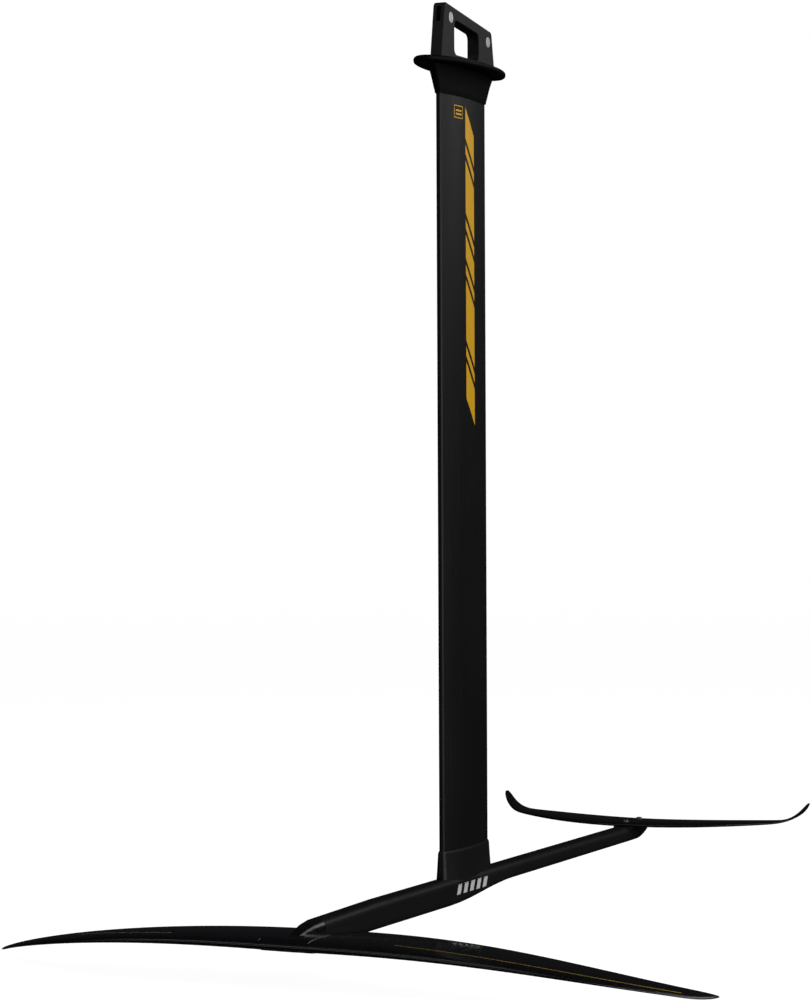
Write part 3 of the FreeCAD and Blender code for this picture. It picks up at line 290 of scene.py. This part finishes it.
def printed(name, outlines, finish, surface, lift, towards, step, body="foil"):
    """Flat outlines laid on a surface.

    lift turns an outline's pair of numbers into a point well outside the surface, and towards
    is the way from there onto the surface. step is the longest side of the mark's facets.
    """
    shape = bmesh.new()
    for outline in outlines:
        shape.faces.new([shape.verts.new((a, b, 0)) for a, b in outline])
    for axis in (0, 1):
        low = min(v.co[axis] for v in shape.verts)
        high = max(v.co[axis] for v in shape.verts)
        for number in range(1, math.ceil((high - low) / step)):
            plane = Vector((0, 0, 0))
            plane[axis] = low + number * step
            normal = Vector((0, 0, 0))
            normal[axis] = 1
            everything = shape.verts[:] + shape.edges[:] + shape.faces[:]
            bmesh.ops.bisect_plane(shape, geom=everything, plane_co=plane, plane_no=normal)
    bmesh.ops.triangulate(shape, faces=shape.faces[:])
    for vert in shape.verts:
        spot, normal, _, _ = surface.ray_cast(lift(vert.co.x, vert.co.y), towards)
        vert.co = spot + normal * MARK_HEIGHT
    for face in shape.faces:
        face.normal_update()
        if face.normal.dot(towards) > 0:
            face.normal_flip()
        face.smooth = True
    mesh = bpy.data.meshes.new(name)
    shape.to_mesh(mesh)
    shape.free()
    mesh.materials.append(finish)
    piece = bpy.data.objects.new(name, mesh)
    bpy.context.scene.collection.objects.link(piece)
    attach(piece, body)
    return piece


GOLD = print_ink("print_gold", (0.66, 0.34, 0.003, 1), (0.74, 0.40, 0.005, 1))
# The pale ink is real print on the fuselage and wing, and also paints the highlights along the wing's
# centre pad.
PALE = print_ink("pale_print_and_painted_highlight", grey(0.56), grey(0.66))
DIM_GOLD = print_ink("print_dim_gold", (0.36, 0.25, 0.03, 1), (0.44, 0.31, 0.04, 1))
mast_surface = surface_of("mast_tube")


def slash(rear, front, top, height, slant):
    """A slanted bar: its front end stands higher than its rear end by the slant."""
    return [(rear, top - slant), (rear, top - slant - height), (front, top - height),
            (front, top)]


def mast_marks():
    """Slanted bars in a row down the mast's port side, long and short by turns."""
    rear, front = -19 * MM, 7 * MM
    top, bottom = -47.4 * MM, -399.4 * MM
    slant = 30 * MM
    bars = []
    lengths = (34, 10, 58, 10, 26, 10, 66, 10, 40)
    gap = 7 * MM
    free = top - bottom - slant - gap * (len(lengths) - 1)
    scale = free / sum(lengths)
    for length in lengths:
        height = length * scale
        bars.append(slash(rear, front, top, height, slant))
        top -= height + gap
    return bars


def frame_lines(rear, front, top, bottom, width):
    """The four sides of an outlined box."""
    return [
        [(rear, top), (rear, top - width), (front, top - width), (front, top)],
        [(rear, bottom + width), (rear, bottom), (front, bottom), (front, bottom + width)],
        [(rear, top - width), (rear, bottom + width), (rear + width, bottom + width),
         (rear + width, top - width)],
        [(front - width, top - width), (front - width, bottom + width), (front, bottom + width),
         (front, top - width)],
    ]


def port_of_mast(x, z):
    return Vector((x, 0.05, z))


TO_STARBOARD = Vector((0, -1, 0))
printed("mast_bars", mast_marks(), GOLD, mast_surface, port_of_mast, TO_STARBOARD, 4 * MM)
small_box = frame_lines(14.4 * MM, 36 * MM, -47.4 * MM, -61.4 * MM, 0.9 * MM)
small_box.append(slash(18 * MM, 32 * MM, -51.9 * MM, 2 * MM, 0))
small_box.append(slash(18 * MM, 32 * MM, -55.9 * MM, 2 * MM, 0))
printed("mast_small_box", small_box, GOLD, mast_surface, port_of_mast, TO_STARBOARD, 3 * MM)

fuselage_surface = surface_of("fuselage")


def fuselage_marks():
    """Five short slanted bars on the fuselage's port side, under the mast."""
    first, pitch, width, lean = 49 * MM, 17.5 * MM, 10 * MM, -5 * MM
    top, bottom = -903.9 * MM, -914.9 * MM
    return [[(first - pitch * n + lean, top), (first - pitch * n, bottom),
             (first - pitch * n - width, bottom), (first - pitch * n - width + lean, top)]
            for n in range(5)]


printed("fuselage_bars", fuselage_marks(), PALE, fuselage_surface, port_of_mast, TO_STARBOARD,
        4 * MM)


def stripe(path, width):
    """A band of four-sided pieces along a path."""
    sides = []
    for number, (a, b) in enumerate(path):
        before, after = path[max(number - 1, 0)], path[min(number + 1, len(path) - 1)]
        along = Vector((after[0] - before[0], after[1] - before[1])).normalized()
        across = Vector((-along.y, along.x)) * width / 2
        sides.append(((a + across.x, b + across.y), (a - across.x, b - across.y)))
    return [[left, right, next_right, next_left]
            for (left, right), (next_left, next_right) in zip(sides, sides[1:])]


# plan of the front wing's leading edge, in millimetres as in the CAD model
WING_NOSE = 448.0
WING_SWEEP = 123.0
WING_HALF_SPAN = 402.3
WING_SWEEP_POWER = 4.3


def leading_edge(y):
    """X in metres of the front wing's leading edge at a Y in millimetres."""
    return (WING_NOSE - WING_SWEEP * (abs(y) / WING_HALF_SPAN) ** WING_SWEEP_POWER) * MM


def edge_stripe(start, end, start_setback, end_setback, width, count=48):
    """A stripe behind the front wing's leading edge, between two Y in millimetres."""
    path = []
    for number in range(count + 1):
        share = number / count
        y = start + (end - start) * share
        setback = start_setback + (end_setback - start_setback) * share
        path.append((leading_edge(y) - setback, y * MM))
    return stripe(path, width)


def above_wing(x, y):
    return Vector((x, y, -0.8))


DOWN = Vector((0, 0, -1))
wing_surface = surface_of("front_wing_skin")
printed("front_wing_stripe", edge_stripe(112, 379, 27 * MM, 11 * MM, 1.4 * MM), DIM_GOLD, wing_surface,
        above_wing, DOWN, 8 * MM)
printed("front_wing_thin_line", edge_stripe(-252, -133, 20 * MM, 20 * MM, 0.7 * MM), PALE, wing_surface,
        above_wing, DOWN, 8 * MM)


def pad_edge_highlights():
    """Painted highlights: a thin pale line along each side of the wing's centre pad, where its edges
    catch the light.
    """
    start, step, points = 390 * MM, 3 * MM, 18
    half_width, line_width = 27.6 * MM, 0.5 * MM
    bands = []
    for side in (-1, 1):
        path = [(start + n * step, side * half_width) for n in range(points)]
        bands += stripe(path, line_width)
    return bands


# Painted highlights along the centre pad's edges, laid in the pale ink.
printed("front_wing_pad_painted_highlights", pad_edge_highlights(), PALE, wing_surface, above_wing, DOWN, 6 * MM)


# ---- studio -------------------------------------------------------------------------------

def softbox(name, spot, aim, width, height, power, colour=(1, 1, 1)):
    light = bpy.data.lights.new(name, "AREA")
    light.shape = "RECTANGLE"
    light.size = width
    light.size_y = height
    light.energy = power
    light.color = colour
    lamp = bpy.data.objects.new(name, light)
    lamp.location = spot
    lamp.rotation_euler = (Vector(aim) - Vector(spot)).to_track_quat("-Z", "Y").to_euler()
    bpy.context.scene.collection.objects.link(lamp)


def studio_world():
    """A white room for the camera and a dim one for the object's reflections."""
    world = bpy.data.worlds.new("studio")
    bpy.context.scene.world = world
    world.use_nodes = True
    nodes, links = world.node_tree.nodes, world.node_tree.links
    nodes.clear()
    seen = nodes.new("ShaderNodeBackground")
    seen.inputs["Color"].default_value = (1, 1, 1, 1)
    room = nodes.new("ShaderNodeBackground")
    room.inputs["Color"].default_value = (0.9, 0.92, 1, 1)
    room.inputs["Strength"].default_value = 0.012
    path = nodes.new("ShaderNodeLightPath")
    mix = nodes.new("ShaderNodeMixShader")
    out = nodes.new("ShaderNodeOutputWorld")
    links.new(path.outputs["Is Camera Ray"], mix.inputs["Fac"])
    links.new(room.outputs["Background"], mix.inputs[1])
    links.new(seen.outputs["Background"], mix.inputs[2])
    links.new(mix.outputs["Shader"], out.inputs["Surface"])


def pale_floor(height, radius):
    """A round pale floor that fades out into the white room."""
    mesh = bpy.data.meshes.new("floor")
    shape = bmesh.new()
    bmesh.ops.create_circle(shape, cap_ends=True, segments=96, radius=radius)
    shape.to_mesh(mesh)
    shape.free()
    floor = bpy.data.objects.new("floor", mesh)
    floor.location = (0, 0, height)
    bpy.context.scene.collection.objects.link(floor)
    paint = Paint("floor_paper")
    nodes, links = paint.nodes, paint.links
    paint.set(Base_Color=grey(0.3), Roughness=0.9)
    glow = paint.add("ShaderNodeEmission", Color=grey(1), Strength=0.97)
    both = paint.add("ShaderNodeAddShader")
    links.new(paint.shader.outputs["BSDF"], both.inputs[0])
    links.new(glow.outputs["Emission"], both.inputs[1])
    clear = paint.add("ShaderNodeBsdfTransparent")
    mix = nodes.new("ShaderNodeMixShader")
    where = paint.add("ShaderNodeTexCoord").outputs["Object"]
    distance = paint.add("ShaderNodeVectorMath")
    distance.operation = "LENGTH"
    links.new(where, distance.inputs[0])
    fade = paint.add("ShaderNodeMapRange", Value=distance.outputs["Value"])
    fade.inputs["From Min"].default_value = radius * 0.35
    fade.inputs["From Max"].default_value = radius * 0.98
    links.new(fade.outputs["Result"], mix.inputs["Fac"])
    links.new(both.outputs["Shader"], mix.inputs[1])
    links.new(clear.outputs["BSDF"], mix.inputs[2])
    links.new(mix.outputs["Shader"], nodes["Material Output"].inputs["Surface"])
    floor.data.materials.append(paint.material)
    floor.visible_glossy = False
    floor.visible_diffuse = False
    floor.visible_shadow = False


studio_world()
FLOOR_GAP = 2 * MM
FLOOR_RADIUS = 9.0
lowest = cad_box[0][2]
pale_floor(lowest - FLOOR_GAP, FLOOR_RADIUS)
softbox("key_port_rear", (-1.9, 1.5, 0.9), (0, 0, -0.2), 1.4, 1.6, 10)
softbox("port_box", (0.5, 2.8, 0.1), (0, 0, -0.45), 3.2, 3.0, 74)
softbox("front_card", (2.5, -0.7, -1.7), (0.2, 0, -0.9), 3.4, 0.8, 8)
softbox("front_top_card", (2.0, -1.2, 1.3), (0.4, 0, -0.9), 2.6, 1.2, 9)
softbox("top_box", (0.2, -0.2, 2.2), (0, 0, -0.5), 2.2, 1.6, 5)


# ---- camera -------------------------------------------------------------------------------

CAMERA_SPOT = (3.1483, 1.3986, -0.4486)
CAMERA_AZIMUTH = math.radians(25.024)
CAMERA_DIP = math.radians(0.554)
CAMERA_ROLL = math.radians(0.254)


def photo_camera():
    data = bpy.data.cameras.new("camera")
    data.lens = 111.6
    data.sensor_width = 36.0
    camera = bpy.data.objects.new("camera", data)
    ahead = Vector((-math.cos(CAMERA_AZIMUTH) * math.cos(CAMERA_DIP),
                    -math.sin(CAMERA_AZIMUTH) * math.cos(CAMERA_DIP), -math.sin(CAMERA_DIP)))
    aim = ahead.to_track_quat("-Z", "Y").to_matrix().to_4x4()
    camera.matrix_world = (Matrix.Translation(CAMERA_SPOT) @ aim
                           @ Matrix.Rotation(-CAMERA_ROLL, 4, "Z"))
    bpy.context.scene.collection.objects.link(camera)
    bpy.context.scene.camera = camera


photo_camera()
bpy.context.scene.view_settings.view_transform = "Standard"
